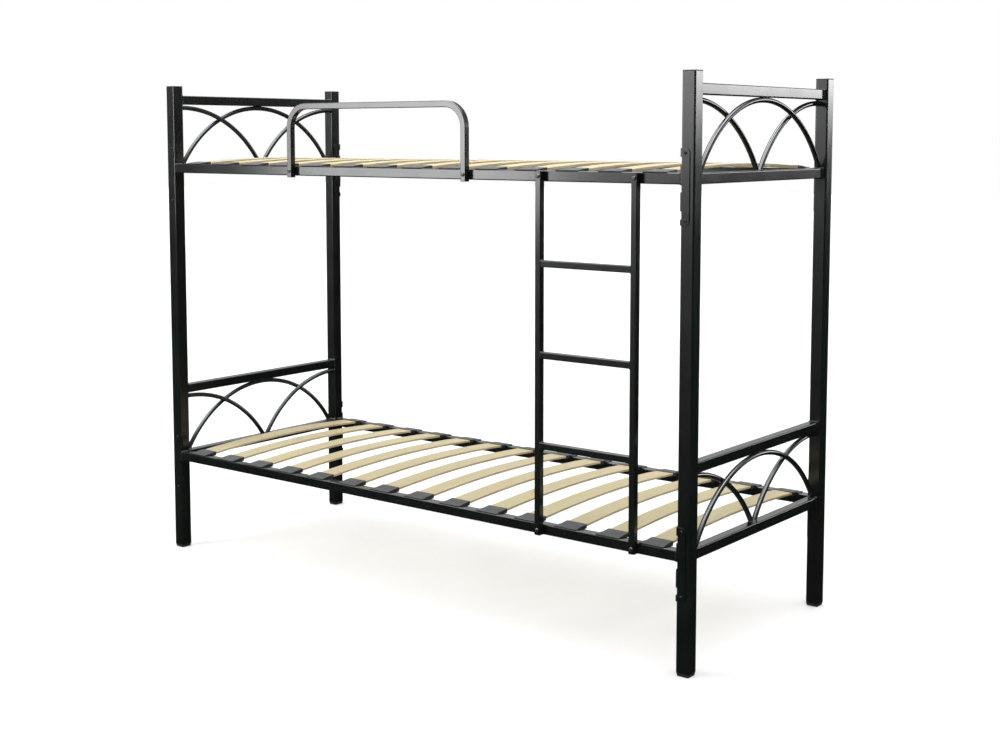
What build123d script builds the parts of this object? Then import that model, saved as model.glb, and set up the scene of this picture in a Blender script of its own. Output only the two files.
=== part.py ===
from build123d import *
from math import atan2, degrees
import os

# A steel bunk bed for two mattresses, screwed together from tube: four posts, two welded end
# frames at each end, four side rails on screwed corner brackets, wooden slats, a ladder and a
# guard rail on the front.  X runs along the bed (left end at -X), Y across it (front at -Y)
# and Z up from the floor.  Millimetres.

# Overall sizes
bed_length = 2080
bed_width = 800
bed_height = 1600

# Posts, their feet and their caps
post_side = 40
post_wall = 1.5
post_corner = 4
foot_height = 10
foot_top_side = 39
foot_sole_side = 35
foot_corner = 3
foot_spigot_length = 22
cap_flange = 3
cap_edge_chamfer = 0.8
cap_spigot_length = 16
spigot_clearance = 0.3

# Rails: heights are those of the rails' centrelines
rail_side = 30
rail_wall = 1.5
rail_corner = 3
lower_rail_height = 325
end_frame_rise = 232
top_rail_below_top = 47

# Arches of round tube in the end frames
arch_tube = 15
arch_wall = 1.2
arch_foot_from_post = 14
half_arch_above_rail = 206
half_arch_foot_from_middle = 9.5
weld_gap = 0.3

# Corner brackets
bracket_thickness = 2.5
bracket_height = 200
bracket_below_rail = 21
bracket_on_post_face = 26.6
bracket_on_post_side = 34
bracket_bend_radius = 2
bracket_corner_radius = 12
notch_height = 21
notch_reach = 7
notch_pitch = 70
notch_centre_drop = 3.5
notch_count = 3

# Screws that hold the brackets on the posts
screw_diameter = 5
screw_hole = 5.6
screw_length = 12
screw_head_diameter = 9.5
screw_head_height = 2
screw_socket = 3
screw_socket_depth = 1.2
screw_from_bracket_end = 12
screw_from_post_side = 14.5

# Slats and the caps on their ends
slat_count = 14
slat_width = 63
slat_thickness = 7
slat_bow = 14
slat_edge_radius = 1.5
slat_end_gap = 3
slat_seat_drop = 2.5
first_slat_from_left = 128
last_slat_from_right = 117
slat_cap_side_wall = 2
slat_cap_roof = 1.7
slat_cap_lip = 2.2
slat_cap_front_height = 2.5
slat_in_cap = 20
slat_cap_tab_width = 8
slat_cap_edge_radius = 0.8
slat_clearance = 0.3
face_clearance = 0.4
cap_pin_diameter = 7
cap_pin_hole = 7.6
cap_pin_length = 6.5

# Ladder and guard rail
ladder_tube = 19
ladder_wall = 1.2
ladder_corner = 2
ladder_width = 315
ladder_from_right = 171.5
ladder_leg_past_bolt = 14
rung_count = 3
rung_pitch = 256
guard_length = 711
guard_to_ladder = 268
guard_rise = 212
guard_bend_radius = 68
guard_leg_past_bolt = 20.3
plug_head = 1.5
plug_corner = 2
plug_clearance = 0.2
plug_to_bolt = 1.5

# Bolts and nuts that hold the ladder and the guard rail on the side rails
bolt_diameter = 6
bolt_hole = 6.6
bolt_head_diameter = 12
bolt_head_height = 3.3
bolt_socket = 4
bolt_socket_depth = 2
bolt_past_nut = 1
nut_across_flats = 10
nut_height = 5
nut_bore = 6.2
head_dome = 0.75

# Worked out from the sizes above
upper_rail_height = bed_height - top_rail_below_top - end_frame_rise
front_reach = ladder_tube + bolt_head_height
rear_reach = bracket_thickness + screw_head_height
middle_y = (front_reach - rear_reach) / 2
width_between_posts = bed_width - 2 * post_side
end_rail_inset = post_side - rail_side / 2
arch_layer = (arch_tube + weld_gap) / 2
slat_end_inset = rail_side + slat_end_gap
slat_length = bed_width - 2 * slat_end_inset
slat_pitch = (bed_length - first_slat_from_left - last_slat_from_right) / (slat_count - 1)
ladder_right_x = bed_length / 2 - ladder_from_right
ladder_left_x = ladder_right_x - ladder_width
guard_right_x = ladder_left_x - guard_to_ladder
guard_left_x = guard_right_x - guard_length

sides = {"left": -1, "right": 1}
faces = {"front": -1, "rear": 1}
levels = {"lower": lower_rail_height, "upper": upper_rail_height}


def along(side, inset):
    """The X place that lies this far in from the posts' outer faces at one end."""
    return side * (bed_length / 2 - inset)


def across(face, inset):
    """The Y place that lies this far in from the posts' outer faces at the front or rear."""
    return middle_y + face * (bed_width / 2 - inset)


def save(piece, name):
    """Labels a finished piece and writes it as its own file."""
    piece.part.label = name
    export_step(piece.part, f"parts/{name}.step")


def square_tube(section, side, wall, corner, length):
    """A square tube from its section's plane, running the way that plane faces."""
    with BuildPart() as tube:
        with BuildSketch(section):
            RectangleRounded(side, side, corner)
            inside = side - 2 * wall
            RectangleRounded(inside, inside, corner - wall, mode=Mode.SUBTRACT)
        extrude(amount=length)
    return tube


def button_screw(head_diameter, head_height, socket, socket_depth, diameter, length):
    """A button-head screw standing on the XY plane, with its shank below the plane."""
    with BuildPart() as screw:
        with BuildSketch():
            Circle(head_diameter / 2)
        extrude(amount=head_height)
        fillet(screw.faces().sort_by(Axis.Z)[-1].edges(), head_dome * head_height)
        with BuildSketch(Plane.XY.offset(head_height)):
            RegularPolygon(socket / 2, 6, major_radius=False)
        extrude(amount=-socket_depth, mode=Mode.SUBTRACT)
        with BuildSketch():
            Circle(diameter / 2)
        extrude(amount=-length)
    return screw


def post(side, face):
    """One corner post, with the bracket screws' holes in its outer wall."""
    x = along(side, post_side / 2)
    y = across(face, post_side / 2)
    section = Plane(origin=(x, y, foot_height))
    length = bed_height - cap_flange - foot_height
    with BuildPart() as tube:
        add(square_tube(section, post_side, post_wall, post_corner, length).part)
        for x_hole, z_hole in bracket_screw_places(side):
            with BuildSketch(Plane(origin=(x_hole, across(face, 0), z_hole), z_dir=(0, -face, 0))):
                Circle(screw_hole / 2)
            extrude(amount=post_wall, mode=Mode.SUBTRACT)
    return tube


def bracket_screw_places(side):
    """X and Z of the four bracket screws on one post."""
    x = along(side, post_side - screw_from_post_side)
    reach = bracket_height / 2 - screw_from_bracket_end
    places = []
    for rail_height in levels.values():
        centre = rail_height - bracket_below_rail
        places += [(x, centre - reach), (x, centre + reach)]
    return places


def foot(side, face):
    """A moulded foot: a tapered block under the post and a spigot up inside it."""
    x = along(side, post_side / 2)
    y = across(face, post_side / 2)
    with BuildPart() as block:
        with BuildSketch(Plane(origin=(x, y, 0))):
            RectangleRounded(foot_sole_side, foot_sole_side, foot_corner)
        with BuildSketch(Plane(origin=(x, y, foot_height))):
            RectangleRounded(foot_top_side, foot_top_side, foot_corner)
        loft()
        with BuildSketch(Plane(origin=(x, y, foot_height))):
            spigot = post_side - 2 * (post_wall + spigot_clearance)
            RectangleRounded(spigot, spigot, post_corner - post_wall)
        extrude(amount=foot_spigot_length)
    return block


def post_caps():
    """The flat caps on the four posts, each with a spigot down inside its post."""
    post_top = bed_height - cap_flange
    with BuildPart() as cap:
        with BuildSketch(Plane.XY.offset(post_top)):
            RectangleRounded(post_side, post_side, post_corner)
        extrude(amount=cap_flange)
        chamfer(cap.faces().sort_by(Axis.Z)[-1].edges(), cap_edge_chamfer)
        with BuildSketch(Plane.XY.offset(post_top)):
            spigot = post_side - 2 * (post_wall + spigot_clearance)
            RectangleRounded(spigot, spigot, post_corner - post_wall)
        extrude(amount=-cap_spigot_length)
    with BuildPart() as caps:
        for side in sides.values():
            for face in faces.values():
                with Locations((along(side, post_side / 2), across(face, post_side / 2), 0)):
                    add(cap.part)
    return caps


def end_rail(side, height):
    """A rail between the two posts of one end, flush with their inner faces."""
    origin = (along(side, end_rail_inset), across(-1, post_side), height)
    section = Plane(origin=origin, x_dir=(1, 0, 0), z_dir=(0, 1, 0))
    return square_tube(section, rail_side, rail_wall, rail_corner, width_between_posts)


def arch(x, centre_y, apex_z, radius, start_angle, turn, foot_z):
    """A bent round tube in a plane across the bed, with its feet cut level."""
    bend_plane = Plane(origin=(x, centre_y, apex_z - radius), x_dir=(0, 1, 0), z_dir=(1, 0, 0))
    with BuildPart() as tube:
        with BuildLine(bend_plane) as centreline:
            CenterArc((0, 0), radius, start_angle, turn)
        with BuildSketch(Plane(origin=centreline.line @ 0, z_dir=centreline.line % 0)):
            Circle(arch_tube / 2)
            Circle(arch_tube / 2 - arch_wall, mode=Mode.SUBTRACT)
        sweep()
        split(bisect_by=Plane.XY.offset(foot_z), keep=Keep.TOP)
    return tube


def full_arch(side, rail_height):
    """The arch from one end of the cross rail to the other, up to the top rail."""
    foot_z = rail_height + rail_side / 2
    apex_z = rail_height + end_frame_rise - rail_side / 2 - weld_gap - arch_tube / 2
    half_span = width_between_posts / 2 - arch_foot_from_post
    rise = apex_z - foot_z
    radius = (half_span**2 + rise**2) / (2 * rise)
    half_turn = degrees(atan2(half_span, radius - rise) + arch_tube / radius)
    x = along(side, end_rail_inset - arch_layer)
    return arch(x, middle_y, apex_z, radius, 90 - half_turn, 2 * half_turn, foot_z)


def half_arch(side, rail_height, face):
    """The half arch from a post's inner face down to the middle of the cross rail."""
    foot_z = rail_height + rail_side / 2
    start_z = rail_height + half_arch_above_rail
    span = width_between_posts / 2 - half_arch_foot_from_middle
    drop = start_z - foot_z
    radius = (span**2 + drop**2) / (2 * drop)
    turn = degrees(atan2(span, radius - drop) + arch_tube / radius)
    x = along(side, end_rail_inset + arch_layer)
    return arch(x, across(face, post_side), start_z, radius, 90, face * turn, foot_z)


def side_rail(face, rail_height, bolt_places):
    """A rail along the bed between two brackets, with holes for cap pins and bolts."""
    start_x = along(-1, post_side + bracket_thickness)
    y = across(face, rail_side / 2)
    section = Plane(origin=(start_x, y, rail_height), x_dir=(0, 1, 0), z_dir=(1, 0, 0))
    length = bed_length - 2 * (post_side + bracket_thickness)
    with BuildPart() as tube:
        add(square_tube(section, rail_side, rail_wall, rail_corner, length).part)
        with BuildSketch(Plane.XY.offset(rail_height + rail_side / 2)):
            with Locations(*[(x, y) for x in slat_places()]):
                Circle(cap_pin_hole / 2)
        extrude(amount=-rail_wall, mode=Mode.SUBTRACT)
        for x in bolt_places:
            with BuildSketch(Plane(origin=(x, across(face, 0), rail_height), z_dir=(0, -face, 0))):
                Circle(bolt_hole / 2)
            extrude(amount=rail_side, mode=Mode.SUBTRACT)
    return tube


def corner_bracket(side, face, rail_height):
    """A bent angle over the post's inner corner, notched across its bend."""
    bottom = rail_height - bracket_below_rail - bracket_height / 2
    outer_x = along(side, post_side + bracket_thickness)
    inner_x = along(side, post_side)
    outer_y = across(face, -bracket_thickness)
    inner_y = across(face, 0)
    face_end_x = along(side, post_side - bracket_on_post_face)
    side_end_y = across(face, bracket_on_post_side)
    outline = [
        (outer_x, outer_y),
        (face_end_x, outer_y),
        (face_end_x, inner_y),
        (inner_x, inner_y),
        (inner_x, side_end_y),
        (outer_x, side_end_y),
    ]
    with BuildPart() as angle:
        with BuildSketch(Plane.XY.offset(bottom)) as section:
            with BuildLine():
                Polyline(*outline, close=True)
            make_face()
            outer_bend = section.vertices().sort_by_distance((outer_x, outer_y, 0))[0]
            fillet(outer_bend, bracket_bend_radius + bracket_thickness)
            inner_bend = section.vertices().sort_by_distance((inner_x, inner_y, 0))[0]
            fillet(inner_bend, bracket_bend_radius)
        extrude(amount=bracket_height)
        straight = angle.edges().filter_by(GeomType.LINE)
        free_corners = straight.group_by(SortBy.LENGTH)[0]
        fillet(free_corners, bracket_corner_radius)
        notch_side = 2 * (notch_reach + bracket_thickness)
        middle_z = bottom + bracket_height / 2 - notch_centre_drop
        for step in range(notch_count):
            notch_z = middle_z + (step - (notch_count - 1) / 2) * notch_pitch
            with Locations((outer_x, outer_y, notch_z)):
                Box(notch_side, notch_side, notch_height, mode=Mode.SUBTRACT)
        reach = bracket_height / 2 - screw_from_bracket_end
        screw_x = along(side, post_side - screw_from_post_side)
        for screw_z in (bottom + bracket_height / 2 - reach, bottom + bracket_height / 2 + reach):
            with BuildSketch(Plane(origin=(screw_x, outer_y, screw_z), z_dir=(0, -face, 0))):
                Circle(screw_hole / 2)
            extrude(amount=bracket_thickness, mode=Mode.SUBTRACT)
    return angle


def all_bracket_screws():
    """The screws of all eight brackets."""
    screw = button_screw(
        screw_head_diameter,
        screw_head_height,
        screw_socket,
        screw_socket_depth,
        screw_diameter,
        screw_length,
    )
    with BuildPart() as screws:
        for side in sides.values():
            for face in faces.values():
                y = across(face, -bracket_thickness)
                for x, z in bracket_screw_places(side):
                    with Locations(Plane(origin=(x, y, z), z_dir=(0, face, 0))):
                        add(screw.part)
    return screws


def slat_places():
    """The X places of the slats' centres."""
    first = -bed_length / 2 + first_slat_from_left
    return [first + step * slat_pitch for step in range(slat_count)]


def slat_set(rail_height):
    """The bowed slats of one level, with rounded long edges."""
    end_z = rail_height + rail_side / 2 - slat_seat_drop + slat_thickness / 2
    half = slat_length / 2
    bow_plane = Plane(origin=(0, middle_y, end_z), x_dir=(0, 1, 0), z_dir=(1, 0, 0))
    with BuildPart() as slat:
        with BuildLine(bow_plane) as bow:
            ThreePointArc((-half, 0), (0, slat_bow), (half, 0))
        with BuildSketch(Plane(origin=bow.line @ 0, x_dir=(1, 0, 0), z_dir=bow.line % 0)):
            RectangleRounded(slat_width, slat_thickness, slat_edge_radius)
        sweep()
    with BuildPart() as slats:
        with Locations(*[(x, 0, 0) for x in slat_places()]):
            add(slat.part)
    return slats


def slat_caps(face, rail_height):
    """The moulded caps of one rail: each sits on the rail and holds the end of a slat."""
    rail_top = rail_height + rail_side / 2
    slope = 4 * slat_bow / slat_length
    back = slat_end_inset + slat_in_cap
    slat_top = slat_thickness - slat_seat_drop
    pocket_start = slat_end_inset - slat_clearance - slope * slat_thickness / 2
    pocket_rise = slope * (back - slat_end_inset)
    pocket_floor = -slat_seat_drop - slat_clearance
    pocket_roof = slat_top + slat_clearance
    profile = [
        (0, 0),
        (0, slat_cap_front_height),
        (slat_end_inset, pocket_roof + slat_cap_roof),
        (back, pocket_roof + pocket_rise + slat_cap_roof),
        (back, pocket_floor - slat_cap_lip),
        (rail_side + face_clearance, pocket_floor - slat_cap_lip),
        (rail_side + face_clearance, 0),
    ]
    pocket = [
        (pocket_start, pocket_floor),
        (pocket_start, pocket_roof),
        (back, pocket_roof + pocket_rise),
        (back, pocket_floor + pocket_rise),
    ]
    block_width = slat_width + 2 * (slat_clearance + slat_cap_side_wall)
    pocket_width = slat_width + 2 * slat_clearance
    centre = Plane(
        origin=(0, across(face, 0), rail_top), x_dir=(0, -face, 0), z_dir=(-face, 0, 0)
    )
    with BuildPart() as cap:
        with BuildSketch(centre.offset(-block_width / 2)):
            with BuildLine():
                Polyline(*profile, close=True)
            make_face()
        extrude(amount=block_width)
        slope_bottom = rail_top + slat_cap_front_height
        end_edges = cap.faces().filter_by(Axis.X).edges()
        slopes = end_edges.filter_by(lambda edge: edge.center().Z > slope_bottom)
        fillet(slopes, slat_cap_edge_radius)
        with BuildSketch(centre.offset(-block_width / 2 - slat_cap_tab_width)):
            with Locations((rail_side / 2, slat_cap_front_height / 2)):
                Rectangle(rail_side, slat_cap_front_height)
        extrude(amount=slat_cap_tab_width)
        with BuildSketch(centre.offset(-pocket_width / 2)):
            with BuildLine():
                Polyline(*pocket, close=True)
            make_face()
        extrude(amount=pocket_width, mode=Mode.SUBTRACT)
        with BuildSketch(Plane(origin=(0, across(face, rail_side / 2), rail_top))):
            Circle(cap_pin_diameter / 2)
        extrude(amount=-cap_pin_length)
    with BuildPart() as caps:
        with Locations(*[(x, 0, 0) for x in slat_places()]):
            add(cap.part)
    return caps


def ladder_leg(x):
    """A ladder leg on the front rails' outer faces, drilled for its two bolts."""
    y = across(-1, -ladder_tube / 2)
    bottom = lower_rail_height - ladder_leg_past_bolt + plug_head
    top = upper_rail_height + ladder_leg_past_bolt - plug_head
    section = Plane(origin=(x, y, bottom))
    with BuildPart() as leg:
        add(square_tube(section, ladder_tube, ladder_wall, ladder_corner, top - bottom).part)
        for rail_height in levels.values():
            with BuildSketch(Plane(origin=(x, across(-1, 0), rail_height), z_dir=(0, -1, 0))):
                Circle(bolt_hole / 2)
            extrude(amount=ladder_tube, mode=Mode.SUBTRACT)
    return leg


def ladder_rung(height):
    """A rung between the ladder legs."""
    start_x = ladder_left_x + ladder_tube / 2
    origin = (start_x, across(-1, -ladder_tube / 2), height)
    section = Plane(origin=origin, x_dir=(0, 1, 0), z_dir=(1, 0, 0))
    length = ladder_width - ladder_tube
    return square_tube(section, ladder_tube, ladder_wall, ladder_corner, length)


def guard_rail():
    """The guard rail: one square tube bent twice, bolted to the upper front rail."""
    y = across(-1, -ladder_tube / 2)
    bottom = upper_rail_height - guard_leg_past_bolt + plug_head
    top = upper_rail_height + guard_rise - ladder_tube / 2
    inside = ladder_tube - 2 * ladder_wall
    bend_plane = Plane(origin=(0, y, 0), x_dir=(1, 0, 0), z_dir=(0, -1, 0))
    corners = [
        (guard_left_x, bottom),
        (guard_left_x, top),
        (guard_right_x, top),
        (guard_right_x, bottom),
    ]
    with BuildPart() as guard:
        with BuildLine(bend_plane) as centreline:
            FilletPolyline(*corners, radius=guard_bend_radius)
        with BuildSketch(Plane(origin=centreline.line @ 0, x_dir=(1, 0, 0), z_dir=(0, 0, 1))):
            RectangleRounded(ladder_tube, ladder_tube, ladder_corner)
            RectangleRounded(inside, inside, ladder_corner - ladder_wall, mode=Mode.SUBTRACT)
        sweep()
        for x in (guard_left_x, guard_right_x):
            with BuildSketch(Plane(origin=(x, across(-1, 0), upper_rail_height), z_dir=(0, -1, 0))):
                Circle(bolt_hole / 2)
            extrude(amount=ladder_tube, mode=Mode.SUBTRACT)
    return guard


def tube_plugs():
    """The plugs in the open ends of the ladder legs and of the guard rail."""
    y = across(-1, -ladder_tube / 2)
    inside = ladder_tube - 2 * (ladder_wall + plug_clearance)
    spigot = ladder_leg_past_bolt - plug_head - bolt_diameter / 2 - plug_to_bolt
    with BuildPart() as plug:
        with BuildSketch():
            RectangleRounded(ladder_tube, ladder_tube, plug_corner)
        extrude(amount=plug_head)
        with BuildSketch(Plane.XY.offset(plug_head)):
            RectangleRounded(inside, inside, ladder_corner - ladder_wall)
        extrude(amount=spigot)
    leg_bottom = lower_rail_height - ladder_leg_past_bolt
    leg_top = upper_rail_height + ladder_leg_past_bolt
    guard_bottom = upper_rail_height - guard_leg_past_bolt
    with BuildPart() as plugs:
        for x in (ladder_left_x, ladder_right_x):
            with Locations(Plane(origin=(x, y, leg_bottom))):
                add(plug.part)
            with Locations(Plane(origin=(x, y, leg_top), z_dir=(0, 0, -1))):
                add(plug.part)
        for x in (guard_left_x, guard_right_x):
            with Locations(Plane(origin=(x, y, guard_bottom))):
                add(plug.part)
    return plugs


def bolt_set(places):
    """Button-head bolts through the front rails, at these X and Z places."""
    length = ladder_tube + rail_side + nut_height + bolt_past_nut
    bolt = button_screw(
        bolt_head_diameter,
        bolt_head_height,
        bolt_socket,
        bolt_socket_depth,
        bolt_diameter,
        length,
    )
    with BuildPart() as bolts:
        for x, z in places:
            with Locations(Plane(origin=(x, across(-1, -ladder_tube), z), z_dir=(0, -1, 0))):
                add(bolt.part)
    return bolts


def nut_set(places):
    """Hexagon nuts on the front rails' inner faces, at these X and Z places."""
    with BuildPart() as nuts:
        for x, z in places:
            with BuildSketch(Plane(origin=(x, across(-1, rail_side), z), z_dir=(0, 1, 0))):
                RegularPolygon(nut_across_flats / 2, 6, major_radius=False)
                Circle(nut_bore / 2, mode=Mode.SUBTRACT)
            extrude(amount=nut_height)
    return nuts


os.makedirs("parts", exist_ok=True)

for side_name, side in sides.items():
    for face_name, face in faces.items():
        save(post(side, face), f"post_{face_name}_{side_name}")
        save(foot(side, face), f"foot_{face_name}_{side_name}")
save(post_caps(), "post_top_caps")

for side_name, side in sides.items():
    for level_name, rail_height in levels.items():
        end_name = f"{side_name}_{level_name}"
        save(end_rail(side, rail_height), f"{end_name}_cross_rail")
        save(end_rail(side, rail_height + end_frame_rise), f"{end_name}_top_rail")
        save(full_arch(side, rail_height), f"{end_name}_full_arch")
        for face_name, face in faces.items():
            save(half_arch(side, rail_height, face), f"{end_name}_{face_name}_half_arch")
            bracket_name = f"bracket_{face_name}_{side_name}_{level_name}"
            save(corner_bracket(side, face, rail_height), bracket_name)
save(all_bracket_screws(), "bracket_screws")

ladder_xs = (ladder_left_x, ladder_right_x)
guard_xs = (guard_left_x, guard_right_x)
ladder_places = [(x, z) for z in levels.values() for x in ladder_xs]
guard_places = [(x, upper_rail_height) for x in guard_xs]
bolted = {
    "front_lower": ladder_xs,
    "front_upper": ladder_xs + guard_xs,
    "rear_lower": (),
    "rear_upper": (),
}
for face_name, face in faces.items():
    for level_name, rail_height in levels.items():
        rail_name = f"{face_name}_{level_name}"
        save(side_rail(face, rail_height, bolted[rail_name]), f"{rail_name}_side_rail")
        save(slat_caps(face, rail_height), f"{rail_name}_slat_caps")
for level_name, rail_height in levels.items():
    save(slat_set(rail_height), f"{level_name}_slats")

save(ladder_leg(ladder_left_x), "ladder_left_leg")
save(ladder_leg(ladder_right_x), "ladder_right_leg")
middle_height = (lower_rail_height + upper_rail_height) / 2
for step, rung_name in enumerate(("bottom", "middle", "top")):
    rung_height = middle_height + (step - (rung_count - 1) / 2) * rung_pitch
    save(ladder_rung(rung_height), f"ladder_{rung_name}_rung")
save(bolt_set(ladder_places), "ladder_bolts")
save(nut_set(ladder_places), "ladder_nuts")
save(guard_rail(), "guard_rail")
save(bolt_set(guard_places), "guard_bolts")
save(nut_set(guard_places), "guard_nuts")
save(tube_plugs(), "tube_end_plugs")
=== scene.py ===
import math
import random

import bmesh
import bpy
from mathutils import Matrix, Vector


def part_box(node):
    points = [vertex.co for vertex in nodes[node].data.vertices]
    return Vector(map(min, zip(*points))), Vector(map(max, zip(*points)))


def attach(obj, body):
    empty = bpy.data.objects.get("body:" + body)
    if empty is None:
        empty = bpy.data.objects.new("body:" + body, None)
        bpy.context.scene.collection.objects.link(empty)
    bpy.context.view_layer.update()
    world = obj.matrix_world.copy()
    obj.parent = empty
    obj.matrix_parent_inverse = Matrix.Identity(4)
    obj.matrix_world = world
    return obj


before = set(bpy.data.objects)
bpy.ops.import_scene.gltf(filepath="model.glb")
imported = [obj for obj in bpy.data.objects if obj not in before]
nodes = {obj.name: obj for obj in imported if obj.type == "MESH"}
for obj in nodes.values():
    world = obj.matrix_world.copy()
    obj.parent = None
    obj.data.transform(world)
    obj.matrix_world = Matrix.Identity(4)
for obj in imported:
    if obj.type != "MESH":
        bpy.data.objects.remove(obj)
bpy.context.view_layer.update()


# ---- Posts -------------------------------------------------------------------------------
# Four 40 mm square steel tubes, one piece from floor to top.  They are welded into the end
# frames, then degreased, phosphated and powder coated black: semi-gloss, with the faint
# orange peel that a stoved powder keeps.

coat_deep_black = (0.0026, 0.0040, 0.0033)
coat_thin_black = (0.0046, 0.0062, 0.0053)
coat_patches_per_metre = 9.0
coat_gloss_per_metre = 14.0
coat_roughness = (0.155, 0.19)
coat_ior = 1.5
peel_per_metre = 420.0
peel_depth = 0.00003
peel_strength = 0.3
edge_samples = 4


def blank_material(name):
    """A new material with one Principled shader: the material, its tree and the shader."""
    material = bpy.data.materials.new(name)
    material.use_nodes = True
    tree = material.node_tree
    shader = tree.nodes["Principled BSDF"]
    return material, tree, shader


def place(tree):
    """The point on the object, in metres."""
    return tree.nodes.new("ShaderNodeTexCoord").outputs["Object"]


def noise(tree, point, scale, detail=2.0, roughness=0.5, distortion=0.0):
    """A noise pattern of so many cells to the metre."""
    pattern = tree.nodes.new("ShaderNodeTexNoise")
    pattern.inputs["Scale"].default_value = scale
    pattern.inputs["Detail"].default_value = detail
    pattern.inputs["Roughness"].default_value = roughness
    pattern.inputs["Distortion"].default_value = distortion
    tree.links.new(point, pattern.inputs["Vector"])
    return pattern.outputs["Fac"]


def spread(tree, value, low, high, from_low=0.3, from_high=0.7):
    """A pattern's middle range, spread from low to high."""
    ranged = tree.nodes.new("ShaderNodeMapRange")
    ranged.inputs["From Min"].default_value = from_low
    ranged.inputs["From Max"].default_value = from_high
    ranged.inputs["To Min"].default_value = low
    ranged.inputs["To Max"].default_value = high
    tree.links.new(value, ranged.inputs["Value"])
    return ranged.outputs["Result"]


def two_colours(tree, share, first, second):
    """Runs from the first colour to the second as share goes from 0 to 1."""
    mix = tree.nodes.new("ShaderNodeMix")
    mix.data_type = "RGBA"
    tree.links.new(share, mix.inputs["Factor"])
    for socket, colour in (("A", first), ("B", second)):
        chosen = [s for s in mix.inputs if s.name == socket and s.type == "RGBA"][0]
        if isinstance(colour, tuple):
            chosen.default_value = (*colour, 1.0)
        else:
            tree.links.new(colour, chosen)
    return [s for s in mix.outputs if s.type == "RGBA"][0]


def softened_edge(tree, radius):
    """The surface's direction, rounded over at its sharp edges."""
    bevel = tree.nodes.new("ShaderNodeBevel")
    bevel.samples = edge_samples
    bevel.inputs["Radius"].default_value = radius
    return bevel.outputs["Normal"]


def raised(tree, height, depth, strength=1.0, under=None):
    """A bump of that depth in metres, on top of another one where there is one."""
    bump = tree.nodes.new("ShaderNodeBump")
    bump.inputs["Distance"].default_value = depth
    bump.inputs["Strength"].default_value = strength
    tree.links.new(height, bump.inputs["Height"])
    if under is not None:
        tree.links.new(under, bump.inputs["Normal"])
    return bump.outputs["Normal"]


def make_powder_coat(name, roughness, edge=None):
    """Stoved black powder: a slight orange peel, patchy gloss; edge softens a sharp edge."""
    material, tree, shader = blank_material(name)
    point = place(tree)
    patches = spread(tree, noise(tree, point, coat_patches_per_metre, 3.0), 0.0, 1.0)
    colour = two_colours(tree, patches, coat_deep_black, coat_thin_black)
    tree.links.new(colour, shader.inputs["Base Color"])
    gloss = noise(tree, point, coat_gloss_per_metre, 4.0)
    tree.links.new(spread(tree, gloss, *roughness), shader.inputs["Roughness"])
    under = softened_edge(tree, edge) if edge else None
    peel = noise(tree, point, peel_per_metre, 1.0)
    peeled = raised(tree, peel, peel_depth, peel_strength, under)
    tree.links.new(peeled, shader.inputs["Normal"])
    shader.inputs["IOR"].default_value = coat_ior
    return material


def finish_with(material, *names):
    """Gives these pieces of the frame their finish."""
    for name in names:
        for slot in nodes[name].material_slots:
            slot.material = material


powder_coat = make_powder_coat("black_powder_coat", coat_roughness)
corners = [(face, side) for face in ("front", "rear") for side in ("left", "right")]
finish_with(powder_coat, *[f"post_{face}_{side}" for face, side in corners])


# ---- Feet and post caps ------------------------------------------------------------------
# Black polypropylene mouldings.  A tapered foot and a flat cap push into the two ends of
# each post on their spigots; the mould leaves them finely grained and less glossy than
# the powder coat.

plastic_black = (0.010, 0.010, 0.0095)
plastic_grey = (0.016, 0.016, 0.015)
plastic_streaks_per_metre = (40.0, 90.0, 90.0)
plastic_gloss_per_metre = 60.0
plastic_roughness = (0.44, 0.56)
plastic_specular = 0.36
mould_edge = 0.0007
grain_per_metre = 1500.0
grain_depth = 0.00008
grain_strength = 0.4


def stretched(tree, point, scale):
    """The point with its axes scaled, so that a pattern runs long one way."""
    mapping = tree.nodes.new("ShaderNodeMapping")
    mapping.inputs["Scale"].default_value = scale
    tree.links.new(point, mapping.inputs["Vector"])
    return mapping.outputs["Vector"]


def make_moulded_plastic(name):
    """Injection-moulded black plastic with a spark-eroded grain."""
    material, tree, shader = blank_material(name)
    point = place(tree)
    streaks = noise(tree, stretched(tree, point, plastic_streaks_per_metre), 1.0, 3.0)
    colour = two_colours(tree, spread(tree, streaks, 0.0, 1.0), plastic_black, plastic_grey)
    tree.links.new(colour, shader.inputs["Base Color"])
    gloss = noise(tree, point, plastic_gloss_per_metre)
    tree.links.new(spread(tree, gloss, *plastic_roughness), shader.inputs["Roughness"])
    pits = noise(tree, point, grain_per_metre, 1.0)
    grain = raised(tree, pits, grain_depth, grain_strength, softened_edge(tree, mould_edge))
    tree.links.new(grain, shader.inputs["Normal"])
    shader.inputs["Specular IOR Level"].default_value = plastic_specular
    return material


moulded_plastic = make_moulded_plastic("black_moulded_plastic")
finish_with(moulded_plastic, "post_top_caps", *[f"foot_{face}_{side}" for face, side in corners])


# ---- End frames --------------------------------------------------------------------------
# Each end has two panels: a top rail and a cross rail of 30 mm square tube, with one full
# arch and two half arches of 15 mm round tube between them.  All are welded to each other
# and to the posts before coating, so every seam shows a rippled bead under the powder.

round_tube_roughness = (0.10, 0.14)
rail_bead = 0.0019
arch_bead = 0.0015
apex_bead_out = 0.0036
apex_bead_half = 0.016
apex_bead_drop = 0.0002
bead_ripple = 0.0021
bead_swell = 0.13
bead_wander = 0.04
bead_flat_end = 0.05
bead_sides = 9
steps_per_radius = 0.3
plane_tolerance = 0.00015
outline_turn = math.radians(4)
outer_share = 0.62
random.seed(11)


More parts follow.
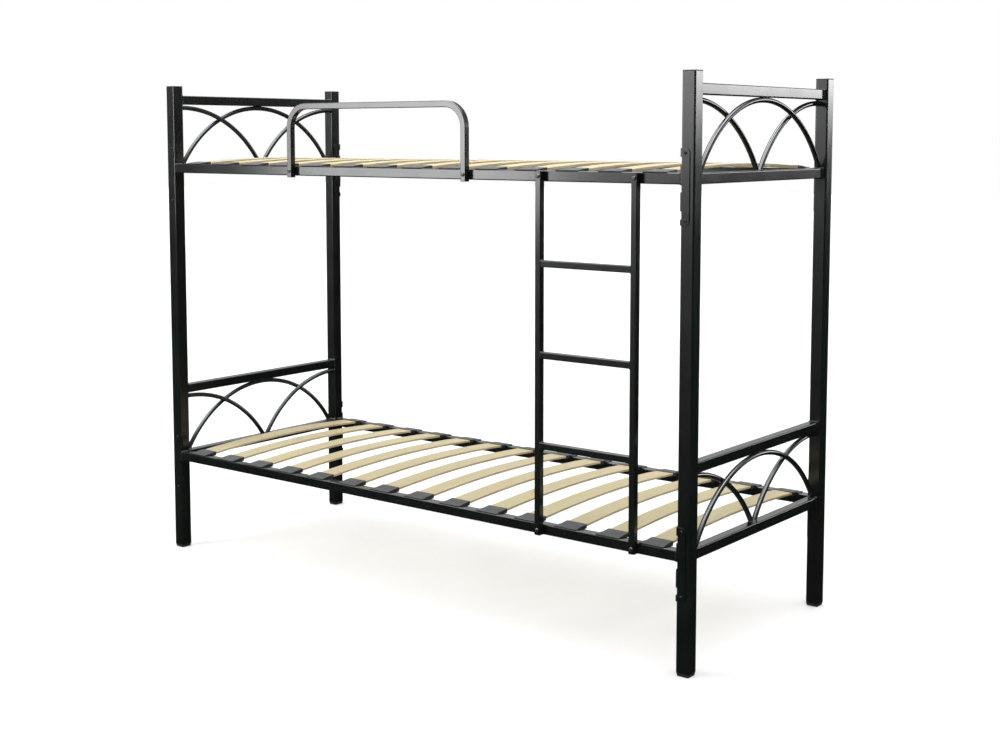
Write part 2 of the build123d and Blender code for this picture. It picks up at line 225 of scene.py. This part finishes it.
def cut_end(name, axis, level, near=None, reach=0.03):
    """The outline of a tube's cut end: its mesh points on that plane, in order round it."""
    found = []
    for vertex in nodes[name].data.vertices:
        co = vertex.co
        if abs(co[axis] - level) > plane_tolerance:
            continue
        if near is not None and (co - near).length > reach:
            continue
        found.append(co.copy())
    centre = sum(found, Vector()) / len(found)
    others = [a for a in range(3) if a != axis]
    outline = {}
    for co in found:
        away = co - centre
        angle = math.atan2(away[others[1]], away[others[0]])
        key = round(angle / outline_turn)
        if key not in outline or outline[key][1] < away.length:
            outline[key] = (angle, away.length, co)
    ordered = sorted(outline.values(), key=lambda entry: entry[0])
    furthest = max(entry[1] for entry in ordered)
    return [entry[2] for entry in ordered if entry[1] > outer_share * furthest]


def even_steps(points, closed, step):
    """The same line as points about one step apart."""
    ends = points + [points[0]] if closed else points
    spaced = []
    for start, end in zip(ends, ends[1:]):
        count = max(1, round((end - start).length / step))
        spaced += [start.lerp(end, index / count) for index in range(count)]
    if not closed:
        spaced.append(ends[-1])
    return spaced


def lay_bead(mesh, points, radius, closed=True):
    """Adds one weld bead along a line: a round section that swells at each ripple."""
    line = even_steps(points, closed, radius * steps_per_radius)
    count = len(line)
    rings = []
    travelled = random.random() * bead_ripple
    middle = sum(line, Vector()) / count
    for index, point in enumerate(line):
        before = line[index - 1] if closed or index else point
        after = line[(index + 1) % count] if closed or index < count - 1 else point
        along = (after - before).normalized()
        outward = point - middle if closed else Vector((0, 0, 1))
        outward = (outward - along * outward.dot(along)).normalized()
        across = along.cross(outward)
        travelled += (point - before).length
        swell = 1.0 + bead_swell * math.cos(2 * math.pi * travelled / bead_ripple)
        swell *= 1.0 + random.uniform(-bead_wander, bead_wander)
        if not closed:
            from_middle = 2 * index / (count - 1) - 1
            swell *= math.sqrt(max(bead_flat_end, 1 - from_middle ** 6))
        ring = []
        for turn in range(bead_sides):
            angle = 2 * math.pi * turn / bead_sides
            offset = outward * math.cos(angle) + across * math.sin(angle)
            ring.append(mesh.verts.new(point + offset * radius * swell))
        rings.append(ring)
    last = count if closed else count - 1
    for index in range(last):
        first, second = rings[index], rings[(index + 1) % count]
        for turn in range(bead_sides):
            following = (turn + 1) % bead_sides
            mesh.faces.new((first[turn], first[following], second[following], second[turn]))
    if not closed:
        mesh.faces.new(list(reversed(rings[0])))
        mesh.faces.new(rings[-1])


def bead_piece(name, seams):
    """One piece holding the weld beads of a frame: seams are (points, radius, closed)."""
    mesh = bmesh.new()
    for points, radius, closed in seams:
        lay_bead(mesh, points, radius, closed)
    bmesh.ops.recalc_face_normals(mesh, faces=mesh.faces)
    data = bpy.data.meshes.new(name)
    mesh.to_mesh(data)
    mesh.free()
    data.shade_smooth()
    data.materials.append(powder_coat)
    piece = bpy.data.objects.new(name, data)
    bpy.context.scene.collection.objects.link(piece)
    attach(piece, "root")


def end_seams(name, axis, radius):
    """The two seams round the cut ends of a straight tube that lies along that axis."""
    return [(cut_end(name, axis, corner[axis]), radius, True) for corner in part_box(name)]


round_tube_coat = make_powder_coat("black_powder_coat_on_round_tube", round_tube_roughness)
for side in ("left", "right"):
    for level in ("lower", "upper"):
        panel = f"{side}_{level}"
        rails = [f"{panel}_cross_rail", f"{panel}_top_rail"]
        full, front_half, rear_half = [
            f"{panel}_{kind}_arch" for kind in ("full", "front_half", "rear_half")
        ]
        finish_with(powder_coat, *rails)
        finish_with(round_tube_coat, full, front_half, rear_half)
        seams = []
        for rail in rails:
            seams += end_seams(rail, 1, rail_bead)
        low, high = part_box(full)
        for foot_y in (low.y, high.y):
            foot = Vector(((low.x + high.x) / 2, foot_y, low.z))
            seams.append((cut_end(full, 2, low.z, foot), arch_bead, True))
        apex = Vector(((low.x + high.x) / 2, (low.y + high.y) / 2, high.z))
        for x_side in (-1, 1):
            start = apex + Vector((x_side * apex_bead_out, -apex_bead_half, -apex_bead_drop))
            end = start + Vector((0, 2 * apex_bead_half, 0))
            seams.append(([start, end], arch_bead, False))
        for arch, on_post in ((front_half, 0), (rear_half, 1)):
            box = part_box(arch)
            foot = Vector(((box[0].x + box[1].x) / 2, box[1 - on_post].y, box[0].z))
            seams.append((cut_end(arch, 2, box[0].z, foot), arch_bead, True))
            seams.append((cut_end(arch, 1, box[on_post].y), arch_bead, True))
        bead_piece(f"{panel}_panel_welds", seams)


# ---- Side rails, corner brackets and their screws ----------------------------------------
# The four long rails are 30 mm square tube.  Each ends in a bent 2.5 mm steel angle, notched
# across its bend and welded to the rail's end, which two button-head screws hold on the post.

bracket_edge = 0.0009
oxide_dark = (0.020, 0.020, 0.020)
oxide_light = (0.045, 0.045, 0.044)
oxide_roughness = (0.36, 0.5)
stains_per_metre = 130.0
marks_per_metre = 700.0
marks_depth = 0.00004
marks_strength = 0.3


def make_steel(name, dark, light, roughness):
    """A plated or blackened steel with fine turning and handling marks."""
    material, tree, shader = blank_material(name)
    point = place(tree)
    stain = spread(tree, noise(tree, point, stains_per_metre, 3.0), 0.0, 1.0)
    tree.links.new(two_colours(tree, stain, dark, light), shader.inputs["Base Color"])
    shader.inputs["Metallic"].default_value = 1.0
    marks = noise(tree, point, marks_per_metre, 3.0)
    tree.links.new(spread(tree, marks, *roughness), shader.inputs["Roughness"])
    tree.links.new(raised(tree, marks, marks_depth, marks_strength), shader.inputs["Normal"])
    return material


bracket_coat = make_powder_coat("black_powder_coat_on_sharp_edges", coat_roughness, bracket_edge)
black_oxide = make_steel("black_oxide_steel", oxide_dark, oxide_light, oxide_roughness)
for level in ("lower", "upper"):
    for face in ("front", "rear"):
        rail = f"{face}_{level}_side_rail"
        finish_with(powder_coat, rail)
        bead_piece(f"{face}_{level}_rail_welds", end_seams(rail, 0, rail_bead))
        for side in ("left", "right"):
            finish_with(bracket_coat, f"bracket_{face}_{side}_{level}")
finish_with(black_oxide, "bracket_screws")


# ---- Slats and their caps ----------------------------------------------------------------
# Bowed laths of bent birch veneers, planed and lacquered: pale faces with fine straight
# grain, and the glue lines of the veneers along their sides.  Each end sits in a black
# moulded cap that is pinned into the side rail.

slat_low, slat_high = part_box("upper_slats")
slat_count = 14
slat_width = 0.063
slat_pitch = (slat_high.x - slat_low.x - slat_width) / (slat_count - 1)
first_slat_x = slat_low.x + slat_width / 2
birch_pale, birch_warm = (0.447, 0.402, 0.224), (0.397, 0.332, 0.171)
birch_pink = (0.447, 0.356, 0.220)
birch_own_tint = (0.380, 0.312, 0.171)
birch_fibre = (0.328, 0.244, 0.124)
veneer_pale, veneer_dark = (0.430, 0.350, 0.210), (0.240, 0.180, 0.100)
bands_per_metre = (70.0, 2.2, 70.0)
fibres_per_metre = (520.0, 11.0, 520.0)
clouds_per_metre = (9.0, 3.0, 9.0)
veneers_per_metre = (6.0, 14.0, 900.0)
lacquer_roughness = (0.36, 0.52)
pore_depth = 0.00010
pore_strength = 0.35


def worked_out(tree, operation, first, second=None):
    """One sum, product or other step of arithmetic on values or numbers."""
    node = tree.nodes.new("ShaderNodeMath")
    node.operation = operation
    for socket, value in zip(node.inputs, (first, second)):
        if isinstance(value, (int, float)):
            socket.default_value = value
        elif value is not None:
            tree.links.new(value, socket)
    return node.outputs[0]


def axes_of(tree, vector):
    """The X, Y and Z of a vector."""
    parts = tree.nodes.new("ShaderNodeSeparateXYZ")
    tree.links.new(vector, parts.inputs["Vector"])
    return parts.outputs


def make_birch(name):
    """Lacquered birch laths: each lath has its own tint, and its sides show the veneers."""
    material, tree, shader = blank_material(name)
    point = place(tree)
    along_bed = worked_out(
        tree, "SUBTRACT", axes_of(tree, point)["X"], first_slat_x - slat_pitch / 2
    )
    own = tree.nodes.new("ShaderNodeTexWhiteNoise")
    own.noise_dimensions = "1D"
    tree.links.new(worked_out(tree, "SNAP", along_bed, slat_pitch), own.inputs["W"])
    shove = tree.nodes.new("ShaderNodeVectorMath")
    shove.operation = "ADD"
    tree.links.new(point, shove.inputs[0])
    tree.links.new(own.outputs["Color"], shove.inputs[1])
    lath_point = shove.outputs["Vector"]
    bands = noise(tree, stretched(tree, lath_point, bands_per_metre), 1.0, 4.0, 0.6, 0.3)
    fibres = noise(tree, stretched(tree, lath_point, fibres_per_metre), 1.0, 5.0, 0.65, 0.2)
    clouds = noise(tree, stretched(tree, lath_point, clouds_per_metre), 1.0, 2.0)
    plies = noise(tree, stretched(tree, point, veneers_per_metre), 1.0, 1.0)
    warm = two_colours(tree, spread(tree, bands, 0.0, 1.0, 0.25, 0.75), birch_pale, birch_warm)
    pink = two_colours(tree, spread(tree, clouds, 0.0, 0.8, 0.42, 0.72), warm, birch_pink)
    own_share = spread(tree, own.outputs["Value"], 0.0, 0.45, 0.0, 1.0)
    tinted = two_colours(tree, own_share, pink, birch_own_tint)
    fibre_share = spread(tree, fibres, 0.0, 0.5, 0.52, 0.80)
    face_colour = two_colours(tree, fibre_share, tinted, birch_fibre)
    ply_share = spread(tree, plies, 0.0, 1.0, 0.35, 0.65)
    side_colour = two_colours(tree, ply_share, veneer_pale, veneer_dark)
    normal = tree.nodes.new("ShaderNodeNewGeometry").outputs["Normal"]
    facing_up = worked_out(tree, "ABSOLUTE", axes_of(tree, normal)["Z"])
    side_share = spread(tree, facing_up, 1.0, 0.0, 0.35, 0.7)
    colour = two_colours(tree, side_share, face_colour, side_colour)
    tree.links.new(colour, shader.inputs["Base Color"])
    tree.links.new(spread(tree, fibres, *lacquer_roughness), shader.inputs["Roughness"])
    pores = raised(tree, fibres, pore_depth, pore_strength)
    tree.links.new(pores, shader.inputs["Normal"])
    return material


birch = make_birch("lacquered_birch")
finish_with(birch, "lower_slats", "upper_slats")
for level in ("lower", "upper"):
    for face in ("front", "rear"):
        finish_with(moulded_plastic, f"{face}_{level}_slat_caps")


# ---- Ladder ------------------------------------------------------------------------------
# Two legs and three rungs of 19 mm square tube, welded together and coated, then bolted
# through the two front rails with button-head bolts and nuts.  Plastic plugs close its ends.

zinc_dark = (0.055, 0.055, 0.057)
zinc_light = (0.12, 0.12, 0.12)
zinc_roughness = (0.3, 0.45)
zinc = make_steel("dark_zinc_plate", zinc_dark, zinc_light, zinc_roughness)
rungs = [f"ladder_{position}_rung" for position in ("bottom", "middle", "top")]
finish_with(powder_coat, "ladder_left_leg", "ladder_right_leg", *rungs)
finish_with(zinc, "ladder_bolts", "ladder_nuts")
finish_with(moulded_plastic, "tube_end_plugs")
seams = []
for rung in rungs:
    seams += end_seams(rung, 0, arch_bead)
bead_piece("ladder_welds", seams)


# ---- Guard rail --------------------------------------------------------------------------
# One length of the ladder's square tube, bent twice on a mandrel, coated and bolted through
# the upper front rail.

finish_with(powder_coat, "guard_rail")
finish_with(zinc, "guard_bolts", "guard_nuts")


# ---- Studio ------------------------------------------------------------------------------
# A plain pale floor, a softbox off the front left corner, a small one overhead, and an even
# white surround.  What the coated steel mirrors is a pale room over a dark floor, with a
# bright ceiling and lit walls at the front left and at the rear right.

floor_pale, floor_paler = (0.90, 0.90, 0.90), (0.93, 0.93, 0.93)
floor_mottle_per_metre = 3.0
floor_roughness = 0.9
floor_half = 30.0


def make_floor_paint(name):
    """Matt off-white paint, very slightly mottled."""
    material, tree, shader = blank_material(name)
    mottle = spread(tree, noise(tree, place(tree), floor_mottle_per_metre, 3.0), 0.0, 1.0)
    tree.links.new(two_colours(tree, mottle, floor_pale, floor_paler), shader.inputs["Base Color"])
    shader.inputs["Roughness"].default_value = floor_roughness
    return material


floor_mesh = bmesh.new()
floor_corners = [
    floor_mesh.verts.new((x * floor_half, y * floor_half, 0))
    for x, y in ((-1, -1), (1, -1), (1, 1), (-1, 1))
]
floor_mesh.faces.new(floor_corners)
floor_data = bpy.data.meshes.new("floor")
floor_mesh.to_mesh(floor_data)
floor_mesh.free()
floor_data.materials.append(make_floor_paint("floor_paint"))
floor = bpy.data.objects.new("floor", floor_data)
bpy.context.scene.collection.objects.link(floor)
floor.visible_glossy = False


def softbox(name, centre, target, width, height, radiance):
    """A rectangular area light that faces a point, as bright all over as it is told."""
    data = bpy.data.lights.new(name, "AREA")
    data.shape = "RECTANGLE"
    data.size = width
    data.size_y = height
    data.energy = 4 * width * height * radiance
    lamp = bpy.data.objects.new(name, data)
    lamp.location = centre
    lamp.rotation_mode = "QUATERNION"
    lamp.rotation_quaternion = (Vector(target) - Vector(centre)).to_track_quat("-Z", "Y")
    lamp.visible_camera = False
    bpy.context.scene.collection.objects.link(lamp)


softbox("front_left_softbox", (-2.83, -3.6, 1.82), (-2.83, 0.0, 1.82), 2.1, 1.65, 7.4)
softbox("overhead_softbox", (0.6, -0.6, 3.6), (0.0, 0.0, 1.0), 1.2, 1.2, 0.8)

dark_floor = (0.010, 0.013, 0.011)
pale_room = (0.95, 0.97, 0.95)
upper_room = (0.50, 0.51, 0.50)
bright_ceiling = (13.0, 13.4, 14.0)
white = (1.0, 1.0, 1.0, 1.0)
seen_brightness = 1.0
fill_brightness = 1.3

world = bpy.data.worlds.new("white_surround")
bpy.context.scene.world = world
world.use_nodes = True
sky = world.node_tree
sky.nodes.clear()
direction = sky.nodes.new("ShaderNodeTexCoord").outputs["Generated"]
height = axes_of(sky, direction)["Z"]
room = two_colours(sky, spread(sky, height, 0.0, 1.0, -0.02, 0.26), dark_floor, pale_room)
room = two_colours(sky, spread(sky, height, 0.0, 1.0, 0.30, 0.50), room, upper_room)
room = two_colours(sky, spread(sky, height, 0.0, 1.0, 0.66, 0.86), room, bright_ceiling)


def light_wall(bearing, full_within, none_beyond, low, high, radiance):
    """A soft lit wall towards a compass bearing, that starts between two heights."""
    turn = math.radians(bearing)
    facing = sky.nodes.new("ShaderNodeVectorMath")
    facing.operation = "DOT_PRODUCT"
    facing.inputs[1].default_value = (math.sin(turn), math.cos(turn), 0.0)
    sky.links.new(direction, facing.inputs[0])
    outer, inner = math.cos(math.radians(none_beyond)), math.cos(math.radians(full_within))
    sideways = spread(sky, facing.outputs["Value"], 0.0, 1.0, outer, inner)
    upward = spread(sky, height, 0.0, 1.0, low, high)
    return worked_out(sky, "MULTIPLY", worked_out(sky, "MULTIPLY", sideways, upward), radiance)


walls = light_wall(213.5, 2, 10, -0.04, 0.05, 6.6)
walls = worked_out(sky, "ADD", walls, light_wall(213, 8, 16, -0.26, 0.0, 0.5))
walls = worked_out(sky, "ADD", walls, light_wall(27, 6, 13, 0.010, 0.040, 11.5))


def glow(colour, strength):
    """Light from all round, of a colour and a strength that may each be a pattern."""
    node = sky.nodes.new("ShaderNodeBackground")
    for socket, value in (("Color", colour), ("Strength", strength)):
        if isinstance(value, (int, float, tuple)):
            node.inputs[socket].default_value = value
        else:
            sky.links.new(value, node.inputs[socket])
    return node.outputs[0]


def chosen_light(share, first, second):
    """The first light, or the second where share is 1."""
    node = sky.nodes.new("ShaderNodeMixShader")
    sky.links.new(share, node.inputs["Fac"])
    sky.links.new(first, node.inputs[1])
    sky.links.new(second, node.inputs[2])
    return node.outputs[0]


mirrored = sky.nodes.new("ShaderNodeAddShader")
sky.links.new(glow(room, 1.0), mirrored.inputs[0])
sky.links.new(glow(white, walls), mirrored.inputs[1])
rays = sky.nodes.new("ShaderNodeLightPath")
lit = chosen_light(
    rays.outputs["Is Glossy Ray"], glow(white, fill_brightness), mirrored.outputs[0]
)
seen = chosen_light(rays.outputs["Is Camera Ray"], lit, glow(white, seen_brightness))
output = sky.nodes.new("ShaderNodeOutputWorld")
sky.links.new(seen, output.inputs["Surface"])
bpy.context.scene.view_settings.view_transform = "Standard"

camera_tilt = math.radians(5.358)
camera_turn = math.radians(38.106)
camera_data = bpy.data.cameras.new("camera")
camera_data.sensor_width = 36.0
camera_data.lens = 53.36
camera_data.shift_y = -0.10
camera = bpy.data.objects.new("camera", camera_data)
camera.location = (2.9963, -3.6929, 1.4310)
camera.rotation_euler = (math.radians(90) - camera_tilt, 0.0, camera_turn)
bpy.context.scene.collection.objects.link(camera)
bpy.context.scene.camera = camera
